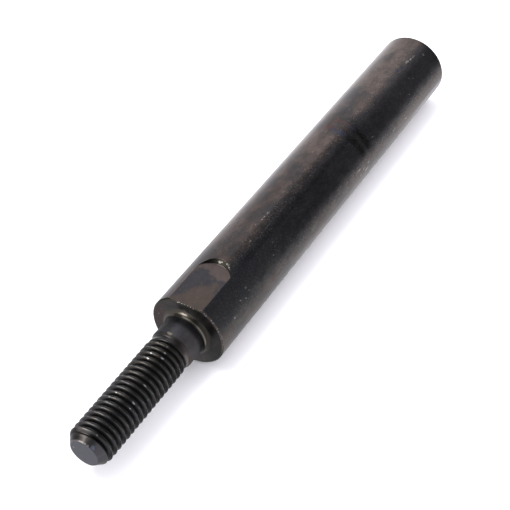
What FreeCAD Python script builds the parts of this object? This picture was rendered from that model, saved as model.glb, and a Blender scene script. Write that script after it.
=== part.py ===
import FreeCAD, Part
import os
import Sketcher

# A turned steel pin, standing on its plain end. Its axis is Z and its base is at height 0.
# From the base up: a plain shank, a square shoulder, a short neck and a threaded stud.
# One wrench flat is milled into the shank, open at the shoulder, and it faces -Y.

os.makedirs("parts", exist_ok=True)
doc = FreeCAD.newDocument("threaded_pin")

# Driving dimensions: millimetres, degrees, and shares of the thread's pitch
driving_dimensions = [
    ("shankDiameter", 18.0, "ground round bar"),
    ("shankLength", 113.0, "plain end to shoulder"),
    ("studLength", 37.0, "shoulder to tip"),
    ("neckDiameter", 10.0, "plain neck under the shoulder"),
    ("neckLength", 6.1, "shoulder to the step"),
    ("neckFillet", 1.5, "hollow corner between neck and shoulder"),
    ("filletShare", 0.7, "largest share of the wall beside the neck that the corner takes"),
    ("stepLength", 0.7, "cone from the neck down to the relief"),
    ("reliefDiameter", 9.24, "blank that the thread is rolled on"),
    ("reliefLength", 0.5, "plain band between step and crests"),
    ("leadLength", 1.7, "cone on which the crests rise to full size"),
    ("crestDiameter", 9.85, "over the thread's crests"),
    ("threadPitch", 1.5, "coarse pitch of a 10 mm thread"),
    ("depthShare", 0.58, "crest to root"),
    ("crestShare", 0.17, "flat top of the crest"),
    ("rootShare", 0.16, "flat bottom of the groove"),
    ("threadSetback", 1.25, "step to the groove's last full turn"),
    ("runoutAngle", 28.0, "how steeply the groove then leaves the metal"),
    ("tipBevelDepth", 1.6, "crests to the rim of the tip's face"),
    ("tipBevelLength", 2.0, "length of the bevel round the tip"),
    ("shoulderChamfer", 0.3, "broken edge of the shoulder"),
    ("endChamfer", 0.5, "bevel round the plain end"),
    ("flatDepth", 1.0, "shank's surface to the wrench flat"),
    ("flatLength", 14.9, "shoulder to the cutter's far side"),
    ("cutterDiameter", 12.0, "cutter that leaves the flat's round end"),
    ("cutterBevelWidth", 1.15, "bevel on the cutter's corner, along its face"),
    ("cutterBevelHeight", 1.2, "bevel on the cutter's corner, along its axis"),
    ("flatChamfer", 0.15, "broken edge between flat and shoulder"),
]
sheet = doc.addObject("Spreadsheet::Sheet", "Sizes")
for row, (alias, value, note) in enumerate(driving_dimensions, start=1):
    sheet.set(f"A{row}", note)
    sheet.set(f"B{row}", str(value))
    sheet.setAlias(f"B{row}", alias)
doc.recompute()


def size(alias):
    return float(sheet.get(alias))


# Radii and heights that several features share, with the same sums as sheet expressions
shank_radius = size("shankDiameter") / 2
shank_rule = "Sizes.shankDiameter / 2"
neck_radius = size("neckDiameter") / 2
relief_radius = size("reliefDiameter") / 2
crest_radius = size("crestDiameter") / 2
crest_rule = "Sizes.crestDiameter / 2"
shoulder_height = size("shankLength")
shoulder_rule = "Sizes.shankLength"
step_start = shoulder_height + size("neckLength")
step_start_rule = f"{shoulder_rule} + Sizes.neckLength"
step_end = step_start + size("stepLength")
step_end_rule = f"{step_start_rule} + Sizes.stepLength"
relief_end = step_end + size("reliefLength")
relief_end_rule = f"{step_end_rule} + Sizes.reliefLength"
lead_end = relief_end + size("leadLength")
lead_end_rule = f"{relief_end_rule} + Sizes.leadLength"
tip_height = shoulder_height + size("studLength")
tip_rule = f"{shoulder_rule} + Sizes.studLength"
tip_radius = crest_radius - size("tipBevelDepth")
tip_radius_rule = f"{crest_rule} - Sizes.tipBevelDepth"
bevel_start = tip_height - size("tipBevelLength")
bevel_start_rule = f"{tip_rule} - Sizes.tipBevelLength"

body = doc.addObject("PartDesign::Body", "threaded_pin")
body.Label = "threaded_pin"
planes = {feature.Role: feature for feature in body.Origin.OriginFeatures}


def new_sketch(name, plane):
    sketch = body.newObject("Sketcher::SketchObject", name)
    sketch.AttachmentSupport = [(planes[plane], "")]
    sketch.MapMode = "FlatFace"
    return sketch


# Hold the first point of a line at a distance from the sketch's origin. The sign of the
# distance picks the side, and a point with no rule lies on the axis named instead.
def hold(sketch, line, kind, distance, rule, axis):
    if rule is None:
        sketch.addConstraint(Sketcher.Constraint("PointOnObject", line, 1, axis))
        return
    if distance < 0:
        held = Sketcher.Constraint(kind, line, 1, -1, 1, -distance)
    else:
        held = Sketcher.Constraint(kind, -1, 1, line, 1, distance)
    index = sketch.addConstraint(held)
    sketch.setExpression(f"Constraints[{index}]", rule)


# Join the corners with lines into a closed outline. A corner is its x and y, and the rules
# for its distance from the origin along each of them.
def draw_outline(sketch, corners):
    points = [FreeCAD.Vector(x, y, 0) for x, y, x_rule, y_rule in corners]
    for line, point in enumerate(points):
        following = points[(line + 1) % len(points)]
        sketch.addGeometry(Part.LineSegment(point, following), False)
    for line in range(len(points)):
        following = (line + 1) % len(points)
        sketch.addConstraint(Sketcher.Constraint("Coincident", line, 2, following, 1))
    for line, (x, y, x_rule, y_rule) in enumerate(corners):
        hold(sketch, line, "DistanceX", x, x_rule, -2)
        hold(sketch, line, "DistanceY", y, y_rule, -1)


# Names of the full circles of one radius round the pin's axis at one height
def circle_edges(shape, radius, height):
    names = []
    for number, edge in enumerate(shape.Edges, start=1):
        if not isinstance(edge.Curve, Part.Circle):
            continue
        same_radius = abs(edge.Curve.Radius - radius) < 1e-4
        if same_radius and abs(edge.Curve.Center.z - height) < 1e-4:
            names.append(f"Edge{number}")
    return names


# Names of the straight edges that lie in one level plane
def level_edges(shape, height):
    names = []
    for number, edge in enumerate(shape.Edges, start=1):
        ends = [vertex.Point.z for vertex in edge.Vertexes]
        level = all(abs(z - height) < 1e-4 for z in ends)
        if level and isinstance(edge.Curve, Part.Line):
            names.append(f"Edge{number}")
    return names


def bevel(name, base, edges, rule):
    feature = body.newObject("PartDesign::Chamfer", name)
    feature.Base = (base, edges)
    feature.setExpression("Size", rule)
    doc.recompute()
    return feature


# Turned blank: half of its section, spun once round the axis
blank_sketch = new_sketch("blank_sketch", "XZ_Plane")
neck_rule = "Sizes.neckDiameter / 2"
relief_rule = "Sizes.reliefDiameter / 2"
draw_outline(blank_sketch, [
    (0, 0, None, None),
    (shank_radius, 0, shank_rule, None),
    (shank_radius, shoulder_height, shank_rule, shoulder_rule),
    (neck_radius, shoulder_height, neck_rule, shoulder_rule),
    (neck_radius, step_start, neck_rule, step_start_rule),
    (relief_radius, step_end, relief_rule, step_end_rule),
    (relief_radius, relief_end, relief_rule, relief_end_rule),
    (crest_radius, lead_end, crest_rule, lead_end_rule),
    (crest_radius, bevel_start, crest_rule, bevel_start_rule),
    (tip_radius, tip_height, tip_radius_rule, tip_rule),
    (0, tip_height, None, tip_rule),
])
blank = body.newObject("PartDesign::Revolution", "blank")
blank.Profile = blank_sketch
blank.ReferenceAxis = (blank_sketch, ["V_Axis"])
blank.Angle = 360
doc.recompute()

# Hollow corner between neck and shoulder, limited by the wall from the neck to the flat
neck_fillet = body.newObject("PartDesign::Fillet", "neck_fillet")
neck_fillet.Base = (blank, circle_edges(blank.Shape, neck_radius, shoulder_height))
flat_rule = f"{shank_rule} - Sizes.flatDepth"
neck_fillet.setExpression(
    "Radius", f"min(Sizes.neckFillet; Sizes.filletShare * ({flat_rule} - {neck_rule}))")
doc.recompute()

# Broken edges of the shoulder and the plain end
shoulder_edges = circle_edges(neck_fillet.Shape, shank_radius, shoulder_height)
shoulder_bevel = bevel("shoulder_bevel", neck_fillet, shoulder_edges, "Sizes.shoulderChamfer")
end_edges = circle_edges(shoulder_bevel.Shape, shank_radius, 0)
end_bevel = bevel("end_bevel", shoulder_bevel, end_edges, "Sizes.endChamfer")

# Wrench flat, straight run: a box cut down from the shoulder to the cutter's last centre
flat_level = shank_radius - size("flatDepth")
outside = 2 * shank_radius
outside_rule = "Sizes.shankDiameter"
run_sketch = new_sketch("flat_run_sketch", "XY_Plane")
run_sketch.setExpression("AttachmentOffset.Base.z", shoulder_rule)
draw_outline(run_sketch, [
    (-shank_radius, -flat_level, shank_rule, flat_rule),
    (-shank_radius, -outside, shank_rule, outside_rule),
    (shank_radius, -outside, shank_rule, outside_rule),
    (shank_radius, -flat_level, shank_rule, flat_rule),
])
flat_run = body.newObject("PartDesign::Pocket", "flat_run")
flat_run.Profile = run_sketch
flat_run.Type = "Length"
flat_run.setExpression("Length", "Sizes.flatLength - Sizes.cutterDiameter / 2")
doc.recompute()

# Wrench flat, round end: half of the cutter's section, spun about the cutter's own axis,
# which crosses the pin's axis square to the flat. The cutter's bevel leaves the sloping end wall.
cutter_radius = size("cutterDiameter") / 2
cutter_rule = "Sizes.cutterDiameter / 2"
end_sketch = new_sketch("flat_end_sketch", "YZ_Plane")
end_sketch.setExpression(
    "AttachmentOffset.Base.y", f"{shoulder_rule} - Sizes.flatLength + {cutter_rule}")
draw_outline(end_sketch, [
    (-flat_level, 0, flat_rule, None),
    (-flat_level, cutter_radius - size("cutterBevelWidth"),
     flat_rule, f"{cutter_rule} - Sizes.cutterBevelWidth"),
    (-flat_level - size("cutterBevelHeight"), cutter_radius,
     f"{flat_rule} + Sizes.cutterBevelHeight", cutter_rule),
    (-outside, cutter_radius, outside_rule, cutter_rule),
    (-outside, 0, outside_rule, None),
])
flat_end = body.newObject("PartDesign::Groove", "flat_end")
flat_end.Profile = end_sketch
flat_end.ReferenceAxis = (end_sketch, ["H_Axis"])
flat_end.Angle = 360
doc.recompute()
flat_edges = level_edges(flat_end.Shape, shoulder_height)
flat_bevel = bevel("flat_bevel", flat_end, flat_edges, "Sizes.flatChamfer")

# Thread groove: a section with a flat bottom and sloping flanks, on the -X side. It reaches
# a little outside the crests, so that it cuts through them without meeting its own turns.
pitch = size("threadPitch")
root_radius = crest_radius - size("depthShare") * pitch
root_rule = f"{crest_rule} - Sizes.depthShare * Sizes.threadPitch"
half_root = size("rootShare") * pitch / 2
half_root_rule = "Sizes.rootShare * Sizes.threadPitch / 2"
half_mouth = (1 - size("crestShare")) * pitch / 2
half_mouth_rule = "(1 - Sizes.crestShare) * Sizes.threadPitch / 2"
mouth_radius = crest_radius + 0.04 * pitch
mouth_rule = f"{crest_rule} + 0.04 * Sizes.threadPitch"
groove_height = step_end + size("threadSetback")
groove_rule = f"{step_end_rule} + Sizes.threadSetback"


def groove_section(name):
    sketch = new_sketch(name, "XZ_Plane")
    below = f"{groove_rule} - "
    above = f"{groove_rule} + "
    draw_outline(sketch, [
        (-root_radius, groove_height - half_root, root_rule, below + half_root_rule),
        (-mouth_radius, groove_height - half_mouth, mouth_rule, below + half_mouth_rule),
        (-mouth_radius, groove_height + half_mouth, mouth_rule, above + half_mouth_rule),
        (-root_radius, groove_height + half_root, root_rule, above + half_root_rule),
    ])
    return sketch


def cut_helix(name, profile, height_rule, reversed_way):
    feature = body.newObject("PartDesign::SubtractiveHelix", name)
    feature.Profile = profile
    feature.ReferenceAxis = (profile, ["V_Axis"])
    feature.Mode = "pitch-height-angle"
    feature.LeftHanded = False
    feature.Reversed = reversed_way
    feature.setExpression("Pitch", "Sizes.threadPitch")
    feature.setExpression("Height", height_rule)
    return feature


# The full groove climbs from its last full turn to one pitch beyond the tip.
thread = cut_helix(
    "thread", groove_section("thread_sketch"),
    "Sizes.studLength - Sizes.neckLength - Sizes.stepLength - Sizes.threadSetback"
    " + Sizes.threadPitch", False)
thread.Angle = 0
doc.recompute()

# From the same section the groove also winds down and outwards, until it has left the metal.
runout = cut_helix(
    "runout", groove_section("runout_sketch"),
    "Sizes.depthShare * Sizes.threadPitch / tan(Sizes.runoutAngle * 1 deg)", True)
runout.setExpression("Angle", "Sizes.runoutAngle")
doc.recompute()

# Nothing is written unless every feature built and the pin is one sound solid.
for item in doc.Objects:
    if "Invalid" in item.State or "Error" in item.State:
        raise RuntimeError(f"{item.Label} failed: {item.State}")
shape = body.Shape
if shape.isNull() or not shape.isValid() or len(shape.Solids) != 1:
    raise RuntimeError("the pin is not one valid solid")
if flat_end.Shape.Volume >= flat_run.Shape.Volume or flat_run.Shape.Volume >= end_bevel.Shape.Volume:
    raise RuntimeError("the wrench flat cuts nothing")
if runout.Shape.Volume >= thread.Shape.Volume or thread.Shape.Volume >= flat_bevel.Shape.Volume:
    raise RuntimeError("the thread cuts nothing")
shape.exportStep(f"parts/{body.Label}.step")
print(f"{body.Label}: {shape.Volume:.1f} cubic millimetres, {len(shape.Faces)} faces")
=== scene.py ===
import math

import bmesh
import bpy
import numpy as np
from mathutils import Matrix, Vector


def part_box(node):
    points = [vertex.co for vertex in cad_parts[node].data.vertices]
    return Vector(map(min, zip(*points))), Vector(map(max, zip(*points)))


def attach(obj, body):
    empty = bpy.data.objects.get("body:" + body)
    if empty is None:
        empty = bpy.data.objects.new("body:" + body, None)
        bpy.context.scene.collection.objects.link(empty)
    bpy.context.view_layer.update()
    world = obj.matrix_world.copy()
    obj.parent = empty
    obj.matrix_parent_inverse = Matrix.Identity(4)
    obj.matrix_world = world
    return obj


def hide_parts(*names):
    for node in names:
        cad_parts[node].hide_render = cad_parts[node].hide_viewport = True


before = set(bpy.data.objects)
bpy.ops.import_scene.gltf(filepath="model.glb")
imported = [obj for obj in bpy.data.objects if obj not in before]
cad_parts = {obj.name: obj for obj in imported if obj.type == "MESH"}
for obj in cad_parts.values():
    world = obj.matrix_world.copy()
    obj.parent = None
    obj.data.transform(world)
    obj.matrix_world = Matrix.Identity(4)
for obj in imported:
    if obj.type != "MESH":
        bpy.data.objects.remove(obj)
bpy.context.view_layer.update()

mm = 0.001  # the sizes below are millimetres, Blender's are metres


# One value inside a node tree. Arithmetic on it adds Math nodes, so shader sums read as sums.
class Wire:
    def __init__(self, tree, socket=None):
        self.tree = tree
        self.socket = socket

    # Any node: its type, its settings, the values or links of its inputs, and the output wanted
    def node(self, kind, settings=None, inputs=None, output=0):
        made = self.tree.nodes.new("ShaderNode" + kind)
        for name, value in (settings or {}).items():
            if name == "stops":
                ramp = made.color_ramp
                while len(ramp.elements) < len(value):
                    ramp.elements.new(0.5)
                for stop, (position, colour) in zip(ramp.elements, value):
                    stop.position = position
                    stop.color = (*colour, 1)
            else:
                setattr(made, name, value)
        for name, value in (inputs or {}).items():
            if isinstance(value, Wire):
                self.tree.links.new(value.socket, made.inputs[name])
            elif isinstance(value, tuple) and made.inputs[name].type == "RGBA":
                made.inputs[name].default_value = (*value, 1)
            else:
                made.inputs[name].default_value = value
        return Wire(self.tree, made.outputs[output]) if made.outputs else None

    def maths(self, operation, first, second=0.0):
        return self.node("Math", {"operation": operation}, {0: first, 1: second})

    def vector(self, operation, inputs, output=0):
        return self.node("VectorMath", {"operation": operation}, inputs, output)

    def __add__(self, other):
        return self.maths("ADD", self, other)

    def __radd__(self, other):
        return self.maths("ADD", other, self)

    def __sub__(self, other):
        return self.maths("SUBTRACT", self, other)

    def __rsub__(self, other):
        return self.maths("SUBTRACT", other, self)

    def __mul__(self, other):
        return self.maths("MULTIPLY", self, other)

    def __rmul__(self, other):
        return self.maths("MULTIPLY", other, self)

    def __truediv__(self, other):
        return self.maths("DIVIDE", self, other)

    def __rtruediv__(self, other):
        return self.maths("DIVIDE", other, self)

    def __pow__(self, other):
        return self.maths("POWER", self, other)

    def __abs__(self):
        return self.maths("ABSOLUTE", self)

    # Another output of the same node
    def other(self, output):
        return Wire(self.tree, self.socket.node.outputs[output])

    # The three parts of a vector
    def split(self):
        first = self.node("SeparateXYZ", None, {0: self})
        return first, first.other(1), first.other(2)

    # A colour made lighter or darker by a factor
    def shade(self, colour, factor):
        return self.vector("SCALE", {0: colour, "Scale": factor})

    # 0 below low, 1 above high, and a smooth step between; low may be the larger one
    def step(self, low, high):
        inputs = {"Value": self, "From Min": low, "From Max": high}
        return self.node("MapRange", {"interpolation_type": "SMOOTHSTEP"}, inputs)

    # 1 from full to fade, falling smoothly to 0 at start and end
    def span(self, start, full, fade, end):
        return self.step(start, full) * self.step(end, fade)

    # Mix of two plain values by this one
    def mix(self, first, second):
        return self.node("Mix", {"data_type": "FLOAT"}, {0: self, 2: first, 3: second})

    # Mix of two colours by this value
    def blend(self, first, second):
        return self.node("Mix", {"data_type": "RGBA"}, {0: self, 6: first, 7: second}, output=2)


# A node tree emptied and wrapped for building
def emptyTree(owner):
    owner.use_nodes = True
    owner.node_tree.nodes.clear()
    return Wire(owner.node_tree)


# The turned pin: millimetres and degrees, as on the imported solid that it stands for
pin = {
    "endChamfer": 0.5,
    "shoulderHeight": 113.0,
    "shoulderChamfer": 0.3,
    "neckRadius": 5.0,
    "neckLength": 6.1,
    "neckFillet": 1.5,
    "stepLength": 0.7,
    "reliefRadius": 4.62,
    "reliefLength": 0.5,
    "leadLength": 1.7,
    "crestRadius": 4.925,
    "tipBevelDepth": 1.6,
    "tipBevelLength": 2.0,
    "flatDepth": 1.0,
    "flatLength": 14.9,      # to the far side of the cutter that leaves the round end
    "flatChamfer": 0.15,
    "cutterRadius": 6.0,
    "cutterBevelWidth": 1.15,
    "cutterBevelHeight": 1.2,
    "pitch": 1.5,
    "depthShare": 0.58,      # shares of the pitch: crest to root
    "rootShare": 0.16,       # flat bottom of the groove
    "mouthShare": 0.83,      # groove's width near the crests
    "mouthRise": 0.04,       # how far outside the crests that width is
    "threadSetback": 1.25,   # foot of the step to the groove's last full turn
    "runoutAngle": 28.0,
    "crestRounding": 0.295,  # how softly crests and roots are rounded
    "tipRounding": 0.30,
    "tipReach": 0.5,         # the tip's rounding ends within this below its bevel
    "sharpAngle": 20.0,      # an edge that turns more stays crisp, off the thread
    "columns": 144,          # points round the axis
    "columnsOnFlat": 11,     # of them, from the middle of the flat to its edge
    "rowsPerTurn": 24,
    "wallSpread": 9.0,       # rows gather below the flat's end wall over this height
    "wallFan": (0.35, 1.2),  # and spread out beside it, over this angle and height
    "poleRadii": (1.0, 0.6),
    "rows": {
        "plainEnd": 6, "endBevel": 3, "shank": 64, "belowWall": 6, "wall": 6, "flat": 22,
        "rim": 2, "face": 5, "corner": 14, "neck": 5, "tip": 5,
    },
}
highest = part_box("threaded_pin")[1]
shankRadius = highest.x / mm
totalLength = highest.z / mm
flatLevel = shankRadius - pin["flatDepth"]
neckTop = pin["shoulderHeight"] + pin["neckLength"]
stepTop = neckTop + pin["stepLength"]
bevelStart = totalLength - pin["tipBevelLength"]
bevelSlope = pin["tipBevelDepth"] / pin["tipBevelLength"]


# Angles of the columns from the middle of the flat (-Y) towards +X, with one on each of the
# flat's edges, where the shank's circle meets the flat's plane
def columnAngles():
    edge = math.acos(flatLevel / shankRadius)
    half = pin["columns"] // 2
    inside = np.linspace(0, edge, pin["columnsOnFlat"] + 1)
    outside = np.linspace(edge, math.pi, half - pin["columnsOnFlat"] + 1)[1:]
    right = np.concatenate([inside, outside])
    return np.concatenate([right, 2 * math.pi - right[-2:0:-1]]), edge


# Rows from one row to the next, as (radius, height) pairs: start + (end - start) * share,
# without the end itself
def stretch(start, end, count):
    share = np.linspace(0, 1, count, endpoint=False)[:, None]
    return [a + (b - a) * share for a, b in zip(start, end)]


# The larger or the smaller of two values, rounded off where they are within a width
def softMaximum(first, second, width):
    near = np.maximum(width - np.abs(first - second), 0) / width
    return np.maximum(first, second) + near ** 2 * width / 4


def softMinimum(first, second, width):
    return -softMaximum(-first, -second, width)


# Groove of the thread: the radius that the cutter leaves at an angle and a height. Across the
# groove it is the root's radius, then a straight flank, with the two joined softly. The groove's
# middle climbs one pitch a turn, and below the last full turn it rises out at the run-out angle.
def grooveRadius(angle, height):
    pitch = pin["pitch"]
    root = pin["crestRadius"] - pin["depthShare"] * pitch
    rise = (pin["depthShare"] + pin["mouthRise"]) * pitch
    run = (pin["mouthShare"] - pin["rootShare"]) * pitch / 2
    lastTurn = stepTop + pin["threadSetback"]
    turn = (angle - 1.5 * math.pi) / (2 * math.pi)
    nearest = np.round((height - lastTurn) / pitch - turn)
    radius = np.full_like(height + angle, np.inf)
    for neighbour in (-1, 0, 1):
        middle = lastTurn + pitch * (nearest + neighbour + turn)
        lift = np.maximum(0, lastTurn - middle) * math.tan(math.radians(pin["runoutAngle"]))
        across = np.abs(height - middle) - pin["rootShare"] * pitch / 2
        flank = softMaximum(rise / run * across, 0, pin["crestRounding"] / 2)
        radius = np.minimum(radius, root + lift + flank)
    return radius


# Whole surface of the pin as rows of points, each point a radius and a height on its column:
# from the centre of the plain end out over its bevel, up the shank, in across the shoulder,
# round the hollow corner, up the neck and thread, and in across the tip.
def pinRows():
    angles, edge = columnAngles()
    fromFlat = np.minimum(angles, 2 * math.pi - angles)
    onFlat = fromFlat <= edge + 1e-9
    cosine = np.where(onFlat, np.cos(angles), 1)
    sine = np.where(onFlat, np.sin(angles), 0)
    shoulder = pin["shoulderHeight"]
    fillet = pin["neckFillet"]
    rows = pin["rows"]

    def ring(radius, height):
        return radius + 0 * angles, height + 0 * angles

    # End wall of the flat: part of a cone round the cutter's axis. A point that lies some way
    # above the floor is reach + slope * way from that axis. Beside the flat, the rows fan out.
    cutterHeight = shoulder - pin["flatLength"] + pin["cutterRadius"]
    floorReach = pin["cutterRadius"] - pin["cutterBevelWidth"]
    wallSlope = pin["cutterBevelWidth"] / pin["cutterBevelHeight"]
    depth = shankRadius * cosine - flatLevel
    fanAngle, fanHeight = pin["wallFan"]
    fan = np.clip((fromFlat - edge) / fanAngle, 0, 1) * fanHeight
    fanMiddle = cutterHeight - np.sqrt(floorReach ** 2 - (flatLevel * math.tan(edge)) ** 2)

    def wallRow(share):
        level = flatLevel + depth * (1 - share)
        reach = floorReach + wallSlope * depth * (1 - share)
        height = cutterHeight - np.sqrt(reach ** 2 - (level * sine / cosine) ** 2)
        radius = np.where(onFlat, level / cosine, shankRadius)
        return radius, np.where(onFlat, height, fanMiddle + fan * (share - 0.5))

    endRim = shankRadius - pin["endChamfer"]
    shankFoot = ring(shankRadius, pin["endChamfer"])
    shankTop = ring(shankRadius, cutterHeight - pin["wallSpread"])
    wallShares = np.linspace(0, 1, rows["wall"], endpoint=False)
    wall = [np.array(part) for part in zip(*[wallRow(share) for share in wallShares])]
    rimTop = shankRadius - pin["shoulderChamfer"]
    flatTop = np.where(onFlat, (flatLevel - pin["flatChamfer"]) / cosine, rimTop)
    rimHeight = np.where(onFlat, shoulder - pin["flatChamfer"], shoulder - pin["shoulderChamfer"])
    rimStart = np.where(onFlat, flatLevel / cosine, shankRadius), rimHeight
    rimEnd = np.minimum(flatTop, rimTop), shoulder + 0 * angles
    lean = np.radians(np.linspace(0, 90, rows["corner"], endpoint=False))[:, None]
    blocks = [
        stretch(ring(pin["poleRadii"][0], 0), ring(endRim, 0), rows["plainEnd"]),
        stretch(ring(endRim, 0), shankFoot, rows["endBevel"]),
        stretch(shankFoot, shankTop, rows["shank"]),
        stretch(shankTop, wallRow(0), rows["belowWall"]),
        wall,
        stretch(wallRow(1), rimStart, rows["flat"]),
        stretch(rimStart, rimEnd, rows["rim"]),
        stretch(rimEnd, ring(pin["neckRadius"] + fillet, shoulder), rows["face"]),
        ring(pin["neckRadius"] + fillet - fillet * np.sin(lean), shoulder + fillet - fillet * np.cos(lean)),
    ]
    leadStart = stepTop + pin["reliefLength"]
    corners = [
        (pin["neckRadius"], shoulder + fillet),
        (pin["neckRadius"], neckTop),
        (pin["reliefRadius"], stepTop),
        (pin["reliefRadius"], leadStart),
        (pin["crestRadius"], leadStart + pin["leadLength"]),
        (pin["crestRadius"], bevelStart),
        (pin["crestRadius"] - pin["tipBevelDepth"], totalLength),
        (pin["poleRadii"][1], totalLength),
    ]
    rowGap = pin["pitch"] / pin["rowsPerTurn"]
    counts = [round((end[1] - start[1]) / rowGap) for start, end in zip(corners, corners[1:])]
    counts[0] = rows["neck"]
    counts[-1] = rows["tip"]
    for start, end, count in zip(corners, corners[1:], counts):
        blocks.append(stretch(ring(*start), ring(*end), count))
    radius = np.concatenate([block[0] for block in blocks])
    height = np.concatenate([block[1] for block in blocks])

    # The stud is the smaller of the blank, the softly rounded tip and the groove
    tipCone = pin["crestRadius"] - pin["tipBevelDepth"] + (totalLength - height) * bevelSlope
    rounded = softMinimum(pin["crestRadius"], tipCone, pin["tipRounding"])
    nearTip = height > bevelStart - pin["tipReach"]
    stud = np.where(nearTip, np.minimum(radius, rounded), radius)
    stud = softMinimum(stud, grooveRadius(angles, height), pin["crestRounding"])
    return np.where(height > shoulder + fillet, stud, radius), height, angles


# Closed mesh from rows of points: quads between rows, and a fan round each pole
def latheMesh(name, radius, height, angles, bottom, top):
    rows, columns = radius.shape
    points = np.stack([radius * np.sin(angles), -radius * np.cos(angles), height], 2).reshape(-1, 3)
    points = np.concatenate([points, [(0, 0, bottom), (0, 0, top)]]) * mm
    index = np.arange(rows * columns).reshape(rows, columns)
    beside = np.roll(index, -1, 1)
    quads = np.stack([index[:-1], beside[:-1], beside[1:], index[1:]], 2).reshape(-1, 4)
    lowFan = np.stack([0 * index[0] + rows * columns, beside[0], index[0]], 1)
    highFan = np.stack([index[-1], beside[-1], 0 * index[0] + rows * columns + 1], 1)
    mesh = bpy.data.meshes.new(name)
    mesh.from_pydata(points.tolist(), [], quads.tolist() + lowFan.tolist() + highFan.tolist())
    welded = bmesh.new()
    welded.from_mesh(mesh)
    bmesh.ops.remove_doubles(welded, verts=welded.verts, dist=0.0005 * mm)
    welded.to_mesh(mesh)
    welded.free()
    return mesh


# Smooth shading, with true edges kept crisp everywhere but on the rounded thread
def shadePin(mesh):
    mesh.shade_smooth()
    mesh.set_sharp_from_angle(angle=math.radians(pin["sharpAngle"]))
    ends = np.zeros(len(mesh.edges) * 2, np.int32)
    mesh.edges.foreach_get("vertices", ends)
    place = np.zeros(len(mesh.vertices) * 3, np.float32)
    mesh.vertices.foreach_get("co", place)
    heights = place.reshape(-1, 3)[ends.reshape(-1, 2), 2] / mm
    onTipEdge = (np.ptp(heights, 1) < 0.001) & (heights[:, 0] > totalLength - 0.01)
    onThread = (heights.min(1) > stepTop + 0.05) & ~onTipEdge
    sharp = np.zeros(len(mesh.edges), bool)
    mesh.attributes["sharp_edge"].data.foreach_get("value", sharp)
    mesh.attributes["sharp_edge"].data.foreach_set("value", sharp & ~onThread)


# Black-oxide finish. Colours are linear and lengths millimetres. Degrees go round the axis from
# the middle of the flat (-Y) towards -X. A side is (degrees, and the cosines of the angle from
# there at which it begins and is full). Marks are the radius that they lie on and a list of
# (height, degrees, half width round, half length along).
steel = {
    # bare metal of nicks and worn edges, and also the colour of painted highlights
    "bareAndGlint": (0.62, 0.59, 0.56),
    "roughness": 0.22,
    "roughByShoulder": 0.12,
    "roughCorner": 0.20,
    "roughNeck": 0.64,
    "roughThread": 0.28,
    "roughCrest": 0.20,
    "dullNicks": 0.20,       # bare nicks are this much less of a mirror
    "raggedness": 0.7,
    "byShoulder": (76, 98),
    "faceEdge": (-0.015, -0.005),    # above the shoulder, like the next three
    "studEdge": (0.02, 0.2),
    "threadEdge": (8.0, 8.6),
    "runoutEdge": (6.9, 7.3),
    "runoutDepth": (0.25, 0.45),
    "noises": {              # scale per mm, detail, how far drawn out along the pin, roughness
        "wobble": (0.9, 3.0, 1.0, 0.6),
        "clouds": (0.11, 5.0, 1.7, 0.65),
        "fine": (0.62, 4.0, 1.8, 0.6),
        "speckle": (2.4, 2.0, 1.0, 0.6),
        "streaks": (1.3, 3.0, 16.0, 0.6),
        "grit": (3.8, 1.0, 1.0, 0.6),
        "flatStain": (0.45, 4.0, 1.0, 0.55),
        "flatRust": (0.7, 4.0, 1.3, 0.7),
        "rimWear": (1.6, 3.0, 1.0, 0.6),
        "crestWear": (1.1, 3.0, 1.0, 0.6),
    },
}


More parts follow.
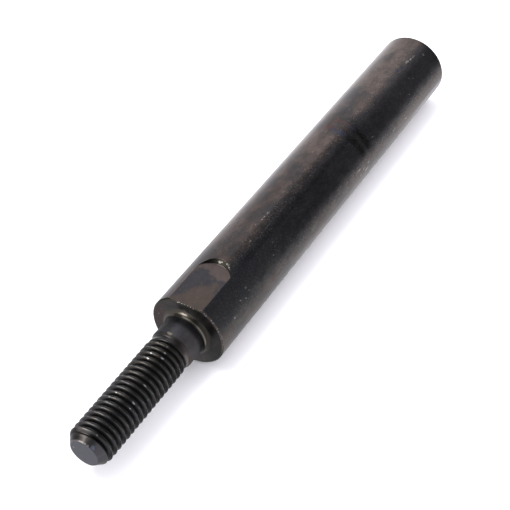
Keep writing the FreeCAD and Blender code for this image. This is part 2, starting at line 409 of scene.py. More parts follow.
# Where a point lies on the pin, and the noises that its finish is made from
class Metal:
    def __init__(self, tree):
        self.tree = tree
        place = tree.node("TexCoord", output="Object")
        self.inMm = tree.vector("SCALE", {0: place, "Scale": 1 / mm})
        self.x, self.y, self.z = self.inMm.split()
        self.radius = (self.x * self.x + self.y * self.y) ** 0.5
        self.upwards = place.other("Normal").split()[2]  # 1 where the surface faces the tip
        self.above = self.z - pin["shoulderHeight"]      # height above the shoulder
        self.past = self.z - bevelStart                  # and above the start of the tip's bevel
        self.byShoulder = self.z.step(*steel["byShoulder"])
        self.wobble = self.noise("wobble")
        self.clouds = self.noise("clouds")
        self.fine = self.noise("fine")
        self.speckle = self.noise("speckle")
        half = steel["raggedness"] / 2
        scatter = {0: self.wobble.other("Color"), 1: (2 * half, 2 * half, 2 * half), 2: self.inMm}
        scattered = tree.vector("MULTIPLY_ADD", scatter)
        self.ragged = tree.vector("SUBTRACT", {0: scattered, 1: (half, half, half)})
        blank = tree.maths("MINIMUM", pin["crestRadius"], pin["crestRadius"] - self.past * bevelSlope)
        self.depth = blank - self.radius  # below the blank that the thread is cut in
        fullThread = self.above.step(*steel["threadEdge"])
        runout = self.depth.step(*steel["runoutDepth"]) * self.above.step(*steel["runoutEdge"])
        self.onThread = (fullThread + runout).step(0, 1)
        self.onFace = self.above.step(*steel["faceEdge"])
        self.onStud = self.above.step(*steel["studEdge"])

    def noise(self, name):
        scale, detail, drawnOut, roughness = steel["noises"][name]
        drawn = self.tree.vector("MULTIPLY", {0: self.inMm, 1: (1, 1, 1 / drawnOut)})
        inputs = {"Vector": drawn, "Scale": scale, "Detail": detail, "Roughness": roughness}
        return self.tree.node("TexNoise", None, inputs)

    # Ragged marks at places on the metal: 1 inside a mark and 0 outside
    def marks(self, radius, places):
        total = 0.0
        for height, degrees, width, length in places:
            a = math.radians(degrees)
            size = (1 / width, 1 / width, 1 / length)
            shift = (radius * math.sin(a) / width, radius * math.cos(a) / width, -height / length)
            offset = self.tree.vector("MULTIPLY_ADD", {0: self.ragged, 1: size, 2: shift})
            total = self.tree.vector("LENGTH", {0: offset}, 1).step(1.25, 0.6) + total
        return total

    # How far a point faces a side, from 0 to 1
    def side(self, degrees, begins, full):
        a = math.radians(degrees)
        cosine = (self.x * -math.sin(a) - self.y * math.cos(a)) / self.radius
        return cosine.step(begins, full)

    # Tone of a round surface: a base, and a share more or less on each side, for painted light and shade by
    # side
    def tone(self, base, sides):
        total = base
        for side, share in sides:
            total = self.side(*side) * share + total
        return total


# Shank: mottled oxide with stains, rings and nicks, with painted shade and a bluish painted reflection
# along the middle of the view, and painted light on its right side
shank = {
    "slate": (0.086, 0.082, 0.087),
    "brown": (0.120, 0.098, 0.093),
    "pink": (0.158, 0.122, 0.113),
    "paleEnd": (0.178, 0.142, 0.130),
    "paleEndEdge": (27.5, 25.5),
    # painted reflection: the bluish colour of the dark band that the surround mirrors along the middle of
    # the view
    "shadedBand": (0.080, 0.085, 0.096),
    "shadedBandSide": (44, 0.84, 0.94),
    # painted light: lighter grey on the right side in the view, and a pale sheen on its grazing edge near
    # the far end
    "litGrey": (0.126, 0.121, 0.119),
    "litGreySide": (95, 0.70, 0.93),
    "paleSheen": (0.52, 0.51, 0.54),
    "paleSheenSide": (106, 0.965, 0.997),
    "paleSheenEdge": (26, 6),
    "toneByShoulder": -0.12,
    # painted shade and light: zones darker or lighter along the shank, most of them on one side only
    "shadeAndLightZones": [           # heights where a zone starts, is full, fades and ends, side, share
        ((52, 66, 80, 90), None, -0.16),     # all the way round
        ((36, 41, 45, 49), (-6, 0.78, 0.93), -0.26),
        ((-2, -1, 0.5, 6), (12, 0.50, 0.90), -0.24),
        ((36, 48, 94, 102), (20, 0.968, 0.992), -0.40),
        ((-2, -1, 20, 32), (42, 0.80, 0.95), 0.22),
    ],
    "slateStain": (0.072, 0.070, 0.076),
    "slateStains": (shankRadius, [
        (11.1, -16.0, 1.4, 2.6), (94.3, 5.5, 1.2, 2.8), (46.0, 5.5, 1.3, 2.4), (76.0, -18.0, 1.8, 3.2),
    ]),
    "blueStains": (shankRadius, [(15.6, 15.5, 0.5, 0.8), (13.7, 17.5, 0.5, 0.8)]),
    "ringBlue": (0.050, 0.062, 0.125),
    "ringRed": (0.125, 0.058, 0.060),
    # painted shade over the rings on their unlit side
    "ringShade": (0.036, 0.036, 0.036),
    "ringShadeSide": (43, 0.89, 0.975),
    "rings": [               # height, side of the blue line, side of the red line
        (45.9, (7, 0.965, 0.995), (-13, 0.980, 0.990)),
        (42.6, (21, 0.985, 0.995), (0, 0.950, 0.990)),
    ],
    "scratchSide": (19.5, 0.99990, 0.99997),
    "gritSide": (42, 0.60, 0.92),
    "nicks": (shankRadius, [
        (90.1, 15.0, 0.22, 0.30), (100.4, 53.0, 0.30, 0.45), (100.0, 58.5, 0.22, 0.25),
        (101.8, 63.5, 0.22, 0.22), (103.4, 58.5, 0.20, 0.25), (107.1, 70.0, 0.25, 0.25),
        (36.9, -4.0, 0.17, 0.20), (39.6, 54.5, 0.25, 0.30), (56.2, -2.5, 0.17, 0.22),
        (45.8, 89.5, 0.26, 1.00), (49.4, 76.0, 0.24, 1.10), (48.8, 88.0, 0.28, 0.45),
        (44.5, 81.0, 0.18, 0.60), (50.9, 78.0, 0.17, 0.35), (47.0, 83.0, 0.15, 0.70),
        (80.4, 7.6, 0.18, 0.50), (81.8, 7.0, 0.15, 0.40), (83.0, 6.8, 0.18, 0.38),
        (84.9, 4.0, 0.13, 0.25), (86.3, 40.0, 0.14, 0.16), (88.5, 53.0, 0.14, 0.16),
        (81.6, 60.0, 0.14, 0.18), (30.1, 79.0, 0.22, 0.80), (23.3, 85.0, 0.22, 0.70),
        (10.8, 18.2, 0.38, 0.85), (9.0, 20.0, 0.30, 0.80), (7.4, 20.6, 0.24, 0.60),
        (4.4, 30.5, 0.28, 0.45), (15.1, 38.5, 0.16, 0.18), (13.9, 43.5, 0.15, 0.16),
        (17.8, 37.0, 0.15, 0.16), (24.9, 49.5, 0.17, 0.20), (21.5, 45.0, 0.17, 0.20),
        (18.7, 56.5, 0.15, 0.20),
    ]),
}


def shankColour(metal, nicks):
    z, fine, speckle, wobble = metal.z, metal.fine, metal.speckle, metal.wobble
    colour = metal.clouds.step(0.40, 0.58).blend(shank["slate"], shank["brown"])
    colour = (metal.clouds * 0.5 + fine * 0.5).step(0.47, 0.60).blend(colour, shank["pink"])
    mottle = (fine * 0.6 + wobble * 0.4).step(0.42, 0.56)
    wavyHeight = z + (wobble - 0.5) * 9 + (fine - 0.5) * 6
    paleEnd = wavyHeight.step(*shank["paleEndEdge"]) * (0.42 + mottle * 0.42)
    colour = paleEnd.blend(colour, shank["paleEnd"])
    # Painted reflection: the dark band's bluish colour on the side facing the view, stronger by the
    # shoulder
    shadedBand = metal.side(*shank["shadedBandSide"]) * (0.75 + metal.byShoulder * 0.22)
    colour = shadedBand.blend(colour, shank["shadedBand"])
    # Painted light: lighter grey on the right side in the view, and a pale sheen on its grazing edge near
    # the far end
    litGrey = metal.side(*shank["litGreySide"]) * fine.step(0.3, 0.7)
    colour = (litGrey * 0.9).blend(colour, shank["litGrey"])
    paleSheen = metal.side(*shank["paleSheenSide"]) * z.step(*shank["paleSheenEdge"])
    colour = (paleSheen * 0.8).blend(colour, shank["paleSheen"])
    tone = 0.66 + 0.40 * fine + 0.22 * metal.noise("streaks") + (speckle - 0.5) * 0.50
    tone = tone * (1 + metal.byShoulder * shank["toneByShoulder"])
    # Painted shade and light, zone by zone
    for heights, side, share in shank["shadeAndLightZones"]:
        zone = z.span(*heights) * metal.side(*side) if side else z.span(*heights)
        tone = tone * (1 + zone * share)
    colour = (metal.marks(*shank["slateStains"]) * 0.65).blend(colour, shank["slateStain"])
    colour = metal.tree.shade(colour, tone)
    colour = (metal.marks(*shank["blueStains"]) * 0.6).blend(colour, shank["ringBlue"])

    # Rings of stain round the shank: blue and red lines only on the lit side, and painted shade over them
    # on the side that is not lit
    wave = z + (wobble - 0.5) * 4.5
    flatterWave = z + (wobble - 0.5) * 2.0
    for height, blueSide, redSide in shank["rings"]:
        blue = abs(wave - height - 0.2).step(0.75, 0.15) * metal.side(*blueSide)
        red = abs(wave - height + 0.3).step(0.55, 0.10) * metal.side(*redSide)
        shadedBand = abs(flatterWave - height).step(1.3, 0.5) * metal.side(*shank["ringShadeSide"])
        colour = (blue * 0.7).blend(colour, shank["ringBlue"])
        colour = (red * 0.8).blend(colour, shank["ringRed"])
        colour = (shadedBand * 0.95).blend(colour, shank["ringShade"])
    scratch = metal.side(*shank["scratchSide"]) * speckle.step(0.48, 0.62) * z.step(40, 60)
    grit = metal.noise("grit").step(0.58, 0.68) * metal.side(*shank["gritSide"])
    worn = nicks * 0.42 + scratch * 0.125 + grit * (0.23 - metal.byShoulder * 0.11)
    return worn.blend(colour, steel["bareAndGlint"])


# Wrench flat: its end wall is painted dark as shade, with bright specks that are partly nicks and partly
# painted highlights, and its floor is stained in large patches
flat = {
    "start": (97, 97.5),
    # painted shade: the near-black colour of the flat's end wall, also laid on the flat's chamfered edge
    "wall": (0.022, 0.022, 0.018),
    "brown": (0.125, 0.102, 0.092),
    "pink": (0.150, 0.122, 0.118),
    "pinkEdge": (102.6, 101.4),
    "slate": (0.078, 0.076, 0.086),
    "slateHeight": 111.6,    # the slate patch's slanting border crosses x = slateStart here
    "slateStart": 3.6,
    "slateSlant": 0.82,
    "slateBend": 105.0,      # below this its border leans more
    "streakEdge": (-2.7, -3.5),
    "streakHeights": (102.6, 103.6, 106.5, 109),
    "rust": (0.152, 0.116, 0.098),
    # bright specks on the end wall: partly bare nicks and partly painted highlights
    "wallNicksAndGlints": (8.8, [
        (99.0, -1.0, 0.46, 0.36), (98.8, 1.5, 0.24, 0.26), (98.7, 11.5, 0.26, 0.26),
        (98.9, 14.0, 0.20, 0.26), (99.2, 16.5, 0.20, 0.30), (99.6, 18.5, 0.16, 0.34),
    ]),
}


def flatColour(metal, colour):
    x, z = metal.x, metal.z
    onCut = (shankRadius - metal.radius).step(0.01, 0.03) * z.step(*flat["start"])
    onFloor = onCut * abs(metal.y + flatLevel).step(0.06, 0.03)
    stain = metal.noise("flatStain") - 0.5
    border = x - flat["slateStart"] + flat["slateSlant"] * (flat["slateHeight"] - z)
    border = border + metal.tree.maths("MAXIMUM", flat["slateBend"] - z, 0.0) * 2.4 + stain * 5
    floor = border.step(-1.0, 1.4).blend(flat["brown"], flat["slate"])
    floor = (z + stain * 5 + x * 0.25).step(*flat["pinkEdge"]).blend(floor, flat["pink"])
    streak = (x + stain * 3).step(*flat["streakEdge"]) * z.span(*flat["streakHeights"])
    floor = (streak * 0.85).blend(floor, flat["slate"])
    floor = (metal.noise("flatRust").step(0.50, 0.68) * 0.55).blend(floor, flat["rust"])
    floor = metal.tree.shade(floor, 0.52 + 0.60 * metal.fine + 0.34 * metal.speckle)
    # Painted shade: the end wall near-black
    colour = onCut.blend(colour, flat["wall"])
    # Bright specks on the end wall, partly bare nicks and partly painted highlights
    wallNicksAndGlints = metal.marks(*flat["wallNicksAndGlints"]) * metal.speckle.step(0.15, 0.60)
    colour = (wallNicksAndGlints * 0.42).blend(colour, steel["bareAndGlint"])
    return onFloor.blend(colour, floor)


# Shoulder's face and rims, hollow corner and neck: heights here are above the shoulder
neck = {
    "face": (0.060, 0.058, 0.056),
    "faceBrown": (0.078, 0.070, 0.063),
    "faceWarm": (0.086, 0.066, 0.057),
    "faceWarmSide": (-78, 0.80, 0.96),
    # painted shade and light across the face, by side
    "faceShadeAndLight": [((85, 0.35, 0.9), -0.46), ((22, 0.84, 0.94), 1.3), ((42, 0.94, 0.99), 0.6)],
    "faceNicks": (7.4, [(113.0, -75.5, 0.11, 0.30), (113.0, -59.5, 0.08, 0.30)]),
    "neck": (0.085, 0.086, 0.096),
    "neckBrown": (0.094, 0.090, 0.095),
    # painted light on one side of the neck, and a painted highlight streak with painted shade beside it
    "neckSideLight": [((38, 0.3, 0.95), 0.62)],
    "neckHighlightAndShade": [((4, 0.965, 0.998), 0.12), ((-16, 0.94, 0.99), -0.35)],
    "corner": (0.082, 0.074, 0.062),
    "cornerEdge": (1.6, 0.9),
    "innerShade": (1.1, 1.4, 2.2, 3.6),
    "innerSide": (40, 0.2, 0.7),
    # painted highlight: the bright ring in the hollow corner, also the colour of the highlight on the
    # neck's step
    "ring": (0.400, 0.365, 0.300),
    "highlightRingHeight": 0.9,
    "highlightRingSide": (50, 0.45, 0.85),
    "cornerShade": (0.42, 0.56, 1.0, 1.3),
    "cornerShadeSide": (-16, 0.955, 0.99),
    # painted highlight low in the hollow corner
    "cornerHighlightHeight": 0.35,
    "cornerHighlightSide": (-0.5, 0.985, 0.998),
    "turned": (0.210, 0.165, 0.142),
    "turnedEdge": (5.7, 6.1),
    "turnedSide": (75, 0.1, 0.8),
    "turnedPace": 13.5,      # radians per mm: a ring every 0.47 mm
    # painted shade over the band from the neck's step up to the thread, on one side
    "leadShade": (0.026, 0.024, 0.020),
    "leadShadeEdge": (6.0, 6.25),
    "leadShadeSide": (3, 0.25, 0.90),
    # painted highlight on the neck's step
    "neckStepHighlight": (pin["neckRadius"], [(118.95, -1.0, 0.75, 0.32)]),
    "rimBrown": (0.205, 0.170, 0.152),
    "rimHeights": (-0.45, -0.25, -0.01, 0.05),
    "rimBrownSide": (60, 0.55, 0.8),
    "rimWornSide": (50, 0.6, 0.9),
    "rimNicks": (8.85, [
        (112.87, 31.5, 0.13, 0.30), (112.87, 35.5, 0.15, 0.30), (112.87, 44.5, 0.14, 0.30),
        (112.87, 49.5, 0.11, 0.30), (112.87, 64.0, 0.15, 0.30),
    ]),
    "flatNicks": (8.1, [
        (112.93, -16.0, 0.12, 0.30), (112.93, -13.0, 0.16, 0.30), (112.93, -10.0, 0.14, 0.30),
        (112.93, -6.0, 0.14, 0.30), (112.93, -1.0, 0.13, 0.30), (112.93, 4.0, 0.12, 0.30),
        (112.93, 9.0, 0.10, 0.30), (112.93, 15.0, 0.10, 0.30),
    ]),
}


def faceColour(metal, colour):
    face = metal.fine.step(0.40, 0.65).blend(neck["face"], neck["faceBrown"])
    face = (metal.side(*neck["faceWarmSide"]) * 0.6).blend(face, neck["faceWarm"])
    # Painted shade and light across the face
    face = metal.tree.shade(face, metal.tone(1.1, neck["faceShadeAndLight"]))
    face = (metal.marks(*neck["faceNicks"]) * 0.7).blend(face, steel["bareAndGlint"])
    return metal.onFace.blend(colour, face)


def neckColour(metal, colour):
    tree, above = metal.tree, metal.above
    tint = metal.clouds.step(0.42, 0.60).blend(neck["neck"], neck["neckBrown"])
    # Painted light on one side of the neck, and a painted highlight streak with painted shade beside it
    tint = tree.shade(tint, (0.55 + 0.9 * metal.fine) * metal.tone(1, neck["neckSideLight"]))
    tint = tree.shade(tint, metal.tone(1, neck["neckHighlightAndShade"]))
    tint = above.step(*neck["cornerEdge"]).blend(tint, neck["corner"])
    innerShade = above.span(*neck["innerShade"]) * metal.side(*neck["innerSide"])
    tint = tree.shade(tint, 1 - innerShade * 0.72)
    # Painted highlight: a bright ring round the hollow corner
    ring = abs(above - neck["highlightRingHeight"]).step(0.24, 0.06) * metal.side(*neck["highlightRingSide"])
    tint = ring.blend(tint, neck["ring"])
    cornerShade = above.span(*neck["cornerShade"]) * metal.side(*neck["cornerShadeSide"])
    tint = tree.shade(tint, 1 - cornerShade * 0.62)
    # Painted highlight low in the hollow corner, in the bare-metal colour
    fromHighlight = abs(above - neck["cornerHighlightHeight"])
    cornerHighlight = fromHighlight.step(0.22, 0.08) * metal.side(*neck["cornerHighlightSide"])
    tint = (cornerHighlight * 0.17).blend(tint, steel["bareAndGlint"])
    turning = tree.maths("SINE", metal.z * neck["turnedPace"] + (metal.wobble - 0.5) * 3)
    turned = turning.step(0.3, 0.8) * above.step(*neck["turnedEdge"]) * metal.side(*neck["turnedSide"])
    tint = (turned * 0.95).blend(tint, neck["turned"])
    # Painted shade over the band from the neck's step up to the thread, on one side
    leadShade = above.step(*neck["leadShadeEdge"]) * metal.side(*neck["leadShadeSide"])
    tint = (leadShade * 0.66).blend(tint, neck["leadShade"])
    # Painted highlight on the neck's step
    tint = (metal.marks(*neck["neckStepHighlight"]) * 0.7).blend(tint, neck["ring"])
    return metal.onStud.blend(colour, tint)


# Broken edges of the shoulder, round the shank and along the flat, worn bright in places; the flat's edge
# takes the end wall's painted shade
def rimColour(metal, colour):
    rim = metal.above.span(*neck["rimHeights"]) * (metal.radius - shankRadius + 0.4).step(0, 0.1)
    flatRim = metal.above.step(-0.22, -0.14) * (-flatLevel - metal.y).step(-0.25, -0.15)
    colour = (rim * metal.side(*neck["rimBrownSide"]) * 0.85).blend(colour, neck["rimBrown"])
    # The flat's chamfered edge gets the same painted shade as the end wall
    colour = (flatRim * 0.95).blend(colour, flat["wall"])
    patches = metal.noise("rimWear").step(0.50, 0.66) * metal.speckle.step(0.35, 0.5)
    worn = rim * metal.side(*neck["rimWornSide"]) * patches * 0.54
    worn = worn + metal.marks(*neck["rimNicks"]) * rim * 0.9
    worn = worn + metal.marks(*neck["flatNicks"]) * flatRim * 0.27
    return worn.blend(colour, steel["bareAndGlint"])


# Thread and tip: heights here are above the start of the tip's bevel
thread = {
    "crest": (0.101, 0.100, 0.104),
    "crestBrown": (0.106, 0.097, 0.092),
    "crestOlive": (0.092, 0.086, 0.078),
    "oliveEdge": (-14, -22),
    # painted shade deep in the grooves, lighter on one side
    "groove": (0.068, 0.068, 0.070),
    "grooveShadeDepth": (0.22, 0.52),
    "grooveSideLight": [((93, 0.93, 0.99), 0.8)],
    # painted shade on two sides of the thread, and on the lit side painted shade on flanks facing the
    # shoulder and painted light on flanks facing the tip
    "tone": [((112, 0.82, 0.98), -0.70), ((-24, 0.86, 0.98), -0.40)],
    "litSide": (-14, 0.88, 0.985),
    "bevel": (0.066, 0.062, 0.060),
    # painted light on one side of the tip's bevel
    "bevelLitColour": (0.190, 0.183, 0.188),
    "bevelLitColourSide": (90, 0.1, 0.8),
    "bevelLightSide": (118, 0.80, 0.99),
    # painted shade in the last turn of the groove and across part of the bevel, and a painted highlight on
    # the crest by it
    "lastGroove": (0.020, 0.019, 0.019),
    "lastGrooveSide": (-14, 0.80, 0.97),
    "lastCrestHighlight": (0.150, 0.138, 0.132),
    "lastCrestHighlightHeights": (-0.5, -0.1, 0.2, 0.45),
    "lastCrestHighlightSide": (-12, 0.90, 0.99),
    "bevelShade": (0.95, 1.35, 1.74, 1.82),
    "bevelShadeSide": (-21, 0.90, 0.985),
    # bare crest metal, also the colour of the painted glints
    "worn": (0.56, 0.57, 0.60),
    "tip": (0.162, 0.160, 0.180),
    # painted highlight on one side of the tip's rim, and painted bluish glints on the bevel
    "tipRimHighlightSide": (-40, 0.1, 0.6),
    "glintBlue": (0.420, 0.470, 0.620),
    "tipSpeck": (2.45, -0.35),   # x and y
    # bright marks on the crests: partly bare nicks and partly painted glints
    "crestNicksAndGlints": (4.9, [
        (122.4, 18.0, 0.20, 0.15), (123.8, 22.0, 0.36, 0.15), (125.2, 26.0, 0.42, 0.15),
        (124.2, -5.0, 0.18, 0.18), (125.5, -7.0, 0.28, 0.20), (126.9, -2.5, 0.28, 0.20),
        (132.7, 36.5, 0.40, 0.13), (137.2, 42.0, 0.38, 0.14), (138.7, 45.0, 0.18, 0.12),
        (137.4, 10.0, 0.18, 0.16), (137.5, -7.0, 0.18, 0.16), (139.0, -14.5, 0.14, 0.14),
        (134.2, 66.0, 0.26, 0.18), (147.8, 26.0, 0.20, 0.20),
    ]),
    "bevelGlints": (3.6, [(149.6, 38.5, 0.42, 0.38), (149.8, 46.0, 0.20, 0.22)]),
    # bright specks at the tip's rim
    "tipRimSpecks": (3.4, [(149.95, 24.0, 0.20, 0.20), (149.9, 13.0, 0.14, 0.16)]),
}


# Grooves get painted shade with their depth below the blank, the ridges get painted light and shade by side
# and by how their flanks face, and the crests are worn
def threadColour(metal, colour, nicks):
    tree, past, depth, fine = metal.tree, metal.past, metal.depth, metal.fine
    crest = fine.step(0.45, 0.62).blend(thread["crest"], thread["crestBrown"])
    crest = past.step(*thread["oliveEdge"]).blend(crest, thread["crestOlive"])
    # Painted light on one side of the tip's bevel
    bevel = metal.side(*thread["bevelLitColourSide"]).blend(thread["bevel"], thread["bevelLitColour"])
    ridge = past.step(-0.1, 0.1).blend(crest, bevel)
    # Painted shade on two sides, and on the lit side painted shade on flanks facing the shoulder and
    # painted light on flanks facing the tip
    lit = metal.side(*thread["litSide"])
    lowerFlankShade = 0.86 - metal.upwards.step(0.26, -0.14) * lit * 0.64
    upperFlankLight = 1.16 + metal.upwards.step(0.15, 0.45) * lit * 0.18
    # More painted light on one side of the bevel
    bevelLight = 1 + past.step(0, 0.4) * metal.side(*thread["bevelLightSide"]) * 1.9
    tone = metal.tone(1, thread["tone"]) * lowerFlankShade * upperFlankLight * bevelLight
    colour = metal.onThread.blend(colour, tree.shade(ridge, (0.70 + 0.6 * fine) * tone))
    # Painted shade in the grooves, lighter on one side
    groove = tree.shade(thread["groove"], tone * metal.tone(1, thread["grooveSideLight"]))
    inGroove = metal.onThread * depth.step(*thread["grooveShadeDepth"])
    colour = inGroove.blend(colour, groove)

    # Painted shade in the last turn of the groove, deep in the bevel where the light comes from, and across
    # part of the bevel, with a painted highlight on the crest by it
    lastSide = metal.side(*thread["lastGrooveSide"])
    lastTurn = past.step(-0.3, 0) * depth.step(0.08, 0.24) * (0.9 - lastSide * 0.75)
    lastTurn = lastTurn + past.step(0.2, 0.4) * depth.step(0.26, 0.40) * lastSide * 0.7
    colour = lastTurn.blend(colour, thread["lastGroove"])
    lastCrestHighlight = past.span(*thread["lastCrestHighlightHeights"]) * metal.side(*thread["lastCrestHighlightSide"])
    colour = (lastCrestHighlight * 0.75).blend(colour, thread["lastCrestHighlight"])
    bevelShade = past.span(*thread["bevelShade"]) * metal.side(*thread["bevelShadeSide"])
    colour = (bevelShade * 0.72).blend(colour, thread["lastGroove"])
    # Worn crests; nicks here are the crests' marks, partly bare nicks and partly painted glints
    crestLine = metal.onThread * depth.step(0.07, 0.0) * past.step(-0.4, -0.8)
    worn = crestLine * metal.noise("crestWear").step(0.48, 0.72) * 0.45 + nicks * 0.75
    return worn.blend(colour, thread["worn"])


def tipColour(metal, colour):
    tree, past = metal.tree, metal.past
    onTip = past.step(1.96, 1.99)
    colour = onTip.blend(colour, tree.shade(thread["tip"], 0.86 + 0.28 * metal.fine))
    # Painted highlight on one side of the tip's rim, painted bluish glints on the bevel, and bright specks
    outside = (metal.radius - 3.2).step(0, 0.06)
    rim = past.step(1.75, 1.88) * outside * metal.side(*thread["tipRimHighlightSide"])
    colour = (rim * 0.16).blend(colour, steel["bareAndGlint"])
    colour = (metal.marks(*thread["bevelGlints"]) * 0.6).blend(colour, thread["glintBlue"])
    speckX, speckY = thread["tipSpeck"]
    fromSpeck = (metal.x - speckX) ** 2 + (metal.y - speckY) ** 2
    specks = metal.marks(*thread["tipRimSpecks"]) * 0.9 + fromSpeck.step(0.030, 0.008) * onTip
    return specks.blend(colour, steel["bareAndGlint"])


def blackSteel():
    material = bpy.data.materials.new("blackOxideSteel")
    tree = emptyTree(material)
    metal = Metal(tree)
    fine, above, byShoulder = metal.fine, metal.above, metal.byShoulder
    shankNicks = metal.marks(*shank["nicks"]) * metal.speckle.step(0.30, 0.62)
    crestNicksAndGlints = metal.marks(*thread["crestNicksAndGlints"])
    colour = flatColour(metal, shankColour(metal, shankNicks))
    colour = neckColour(metal, faceColour(metal, colour))
    colour = threadColour(metal, rimColour(metal, colour), crestNicksAndGlints)
    colour = tipColour(metal, colour)

    onShank = steel["roughness"] + byShoulder * steel["roughByShoulder"] + (fine - 0.5) * 0.10
    beyond = above.step(6.6, 6.2).mix(steel["roughThread"], steel["roughNeck"])
    onStud = above.step(0.9, 2.2).mix(steel["roughCorner"], beyond)
    onCrest = metal.onThread * metal.depth.step(0.14, 0.04) * metal.past.step(-0.2, -0.6)
    roughness = onCrest.mix(metal.onStud.mix(onShank, onStud), steel["roughCrest"])
    grain = metal.speckle * (0.008 + byShoulder * 0.010) + fine * 0.016
    bump = tree.node("Bump", None, {"Strength": 1.0, "Distance": mm, "Height": grain})
    surface = tree.node("BsdfPrincipled", None, {
        "Base Color": colour,
        "Metallic": 1 - (shankNicks + crestNicksAndGlints) * steel["dullNicks"],
        "Roughness": roughness,
        "Normal": bump,
    })
    tree.node("OutputMaterial", None, {"Surface": surface})
    return material


print("Pin")
radius, height, angles = pinRows()
mesh = latheMesh("pinMetal", radius, height, angles, 0, totalLength)
shadePin(mesh)
mesh.materials.append(blackSteel())
pinMetal = bpy.data.objects.new("pinMetal", mesh)
bpy.context.scene.collection.objects.link(pinMetal)
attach(pinMetal, "root")
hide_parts("threaded_pin")
print("  triangles:", sum(len(face.vertices) - 2 for face in mesh.polygons))

# Camera: metres and unit axes in the pin's own frame, fitted to the photo's outlines
view = {
    "place": (-0.103906, -0.183653, 0.250433),
    "right": (-0.86054022, 0.02752124, -0.50863849),
    "up": (0.33219356, -0.72666216, -0.60133979),
    "lens": 82.80,
    "sensor": 36.0,
    "nearest": 0.01,
}


def addCamera():
    right = Vector(view["right"])
    up = Vector(view["up"])
    back = right.cross(up)
    camera = bpy.data.cameras.new("camera")
    camera.lens = view["lens"]
    camera.sensor_width = view["sensor"]
    camera.clip_start = view["nearest"]
    holder = bpy.data.objects.new("camera", camera)
    axes = Matrix((right, up, back)).transposed()
    holder.matrix_world = Matrix.Translation(view["place"]) @ axes.to_4x4()
    bpy.context.scene.collection.objects.link(holder)
    bpy.context.scene.camera = holder


print("Camera")
addCamera()

# Studio: strengths are linear, white is 1. Metal mirrors a surround of three bands by a ray's z:
# one low down, a glow over it, and one from level upwards. The stops of a band run once round,
# from the far side past the picture's left, the camera in the middle and the picture's right.
studio = {
    "floorSize": 6.0,
    "floorColour": (0.9, 0.9, 0.9),
    "backdrop": (1.0, 1.0, 1.0),
    "ambientLeft": (1.22, 1.21, 1.28),
    "ambientRight": (1.87, 1.85, 1.97),
    "ambientEdge": (-0.4, 0.4),
    "rightAzimuth": -90.0,
    "viewAzimuth": -29.5,
    "below": [
        (0.000, (0.85, 0.84, 0.86)), (0.010, (1.20, 1.18, 1.22)), (0.070, (1.40, 1.38, 1.44)),
        (0.130, (1.17, 1.16, 1.21)), (0.200, (0.98, 0.97, 0.99)), (0.260, (0.88, 0.87, 0.88)),
        (0.385, (0.92, 0.91, 0.92)), (0.410, (0.58, 0.57, 0.58)), (0.450, (0.40, 0.39, 0.41)),
        (0.485, (0.19, 0.19, 0.20)), (0.520, (0.13, 0.13, 0.14)), (0.640, (0.12, 0.12, 0.13)),
        (0.675, (0.14, 0.14, 0.15)), (0.715, (0.40, 0.40, 0.42)), (0.750, (0.75, 0.74, 0.75)),
        (0.800, (0.89, 0.87, 0.89)), (0.860, (0.88, 0.86, 0.89)), (0.900, (0.71, 0.70, 0.73)),
        (0.940, (0.69, 0.68, 0.71)), (1.000, (0.78, 0.77, 0.79)),
    ],
    "glow": [
        (0.00, (0.50, 0.50, 0.52)), (0.08, (0.90, 0.88, 0.90)), (0.16, (0.42, 0.41, 0.42)),
        (0.28, (0.44, 0.43, 0.43)), (0.38, (0.50, 0.48, 0.47)), (0.46, (0.16, 0.15, 0.15)),
        (0.52, (0.24, 0.23, 0.22)), (0.60, (0.62, 0.60, 0.56)), (0.72, (0.70, 0.68, 0.64)),
        (0.84, (0.62, 0.60, 0.58)), (0.94, (0.40, 0.39, 0.40)), (1.00, (0.50, 0.50, 0.52)),
    ],
    "above": [
        (0.00, (0.64, 0.64, 0.68)), (0.08, (0.80, 0.80, 0.84)), (0.16, (0.85, 0.84, 0.86)),
        (0.28, (0.95, 0.93, 0.93)), (0.38, (0.62, 0.61, 0.61)), (0.46, (0.10, 0.10, 0.11)),
        (0.53, (0.10, 0.10, 0.11)), (0.58, (0.34, 0.34, 0.37)), (0.70, (0.34, 0.34, 0.38)),
        (0.80, (0.50, 0.50, 0.54)), (0.90, (0.45, 0.45, 0.48)), (1.00, (0.64, 0.64, 0.68)),
    ],
    "glowStart": (-0.535, -0.485),
    "glowEnd": (-0.30, 0.00),
    "softboxAzimuth": 44.0,
    "softboxElevation": 40.0,
    "softboxCosines": (0.95, 0.975),
    "softbox": (5.2, 5.0, 4.8),
    "keyAzimuth": 15.0,
    "keyElevation": 5.0,
    "keyStrength": 1.7,
    "keyAngle": 28.0,
}


# Unit direction at an azimuth, from -Y towards +X, and an elevation
def direction(azimuth, elevation):
    a = math.radians(azimuth)
    e = math.radians(elevation)
    return Vector((math.sin(a) * math.cos(e), -math.cos(a) * math.cos(e), math.sin(e)))


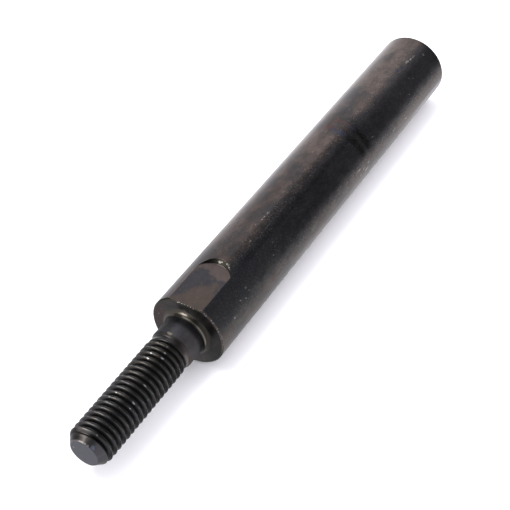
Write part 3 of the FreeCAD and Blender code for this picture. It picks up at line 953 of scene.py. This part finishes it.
# The pin lies on the floor with its flat up, so the floor is the plane along its back. Its
# underside lets views from below through.
def addFloor():
    half = studio["floorSize"] / 2
    level = shankRadius * mm
    mesh = bpy.data.meshes.new("studioFloor")
    corners = [(-half, level, -half), (half, level, -half), (half, level, half), (-half, level, half)]
    mesh.from_pydata(corners, [], [(0, 1, 2, 3)])
    material = bpy.data.materials.new("paleFloor")
    tree = emptyTree(material)
    top = tree.node("BsdfDiffuse", None, {"Color": studio["floorColour"]})
    underside = tree.node("BsdfTransparent")
    turnedAway = tree.node("NewGeometry", output="Backfacing")
    surface = tree.node("MixShader", None, {0: turnedAway, 1: top, 2: underside})
    tree.node("OutputMaterial", None, {"Surface": surface})
    mesh.materials.append(material)
    floor = bpy.data.objects.new("studioFloor", mesh)
    floor.visible_glossy = False
    bpy.context.scene.collection.objects.link(floor)


# World: the plain backdrop for the camera, the surround for gloss, and a soft ambient light,
# weaker from the left, for all else
def addWorld():
    world = bpy.data.worlds.new("studio")
    bpy.context.scene.world = world
    tree = emptyTree(world)
    ray = tree.node("TexCoord", output="Generated")
    z = ray.split()[2]

    # How far a ray goes towards a direction: their dot product
    def towards(axis):
        return tree.vector("DOT_PRODUCT", {0: ray, 1: tuple(axis)}, 1)

    ahead = towards(direction(studio["viewAzimuth"], 0))
    aside = towards(direction(studio["viewAzimuth"] - 90, 0))
    turn = tree.maths("ARCTAN2", aside, ahead) / (2 * math.pi) + 0.5
    below, glow, above = [
        tree.node("ValToRGB", {"stops": studio[band]}, {0: turn}) for band in ("below", "glow", "above")
    ]
    surround = z.step(*studio["glowStart"]).blend(below, glow)
    surround = z.step(*studio["glowEnd"]).blend(surround, above)
    softbox = towards(direction(studio["softboxAzimuth"], studio["softboxElevation"]))
    surround = softbox.step(*studio["softboxCosines"]).blend(surround, studio["softbox"])
    toRight = towards(direction(studio["rightAzimuth"], 0)).step(*studio["ambientEdge"])
    ambient = toRight.blend(studio["ambientLeft"], studio["ambientRight"])
    fromCamera = tree.node("LightPath", output="Is Camera Ray")
    seen = fromCamera.other("Is Glossy Ray").blend(ambient, surround)
    colour = fromCamera.blend(seen, studio["backdrop"])
    background = tree.node("Background", None, {"Color": colour, "Strength": 1.0})
    tree.node("OutputWorld", None, {"Surface": background})


def addKey():
    lamp = bpy.data.lights.new("keyLight", "SUN")
    lamp.energy = studio["keyStrength"]
    lamp.angle = math.radians(studio["keyAngle"])
    holder = bpy.data.objects.new("keyLight", lamp)
    holder.rotation_mode = "QUATERNION"
    towards = direction(studio["keyAzimuth"], studio["keyElevation"])
    holder.rotation_quaternion = towards.to_track_quat("Z", "Y")
    holder.visible_glossy = False
    bpy.context.scene.collection.objects.link(holder)


print("Studio")
addFloor()
addWorld()
addKey()
bpy.context.scene.view_settings.view_transform = "Standard"
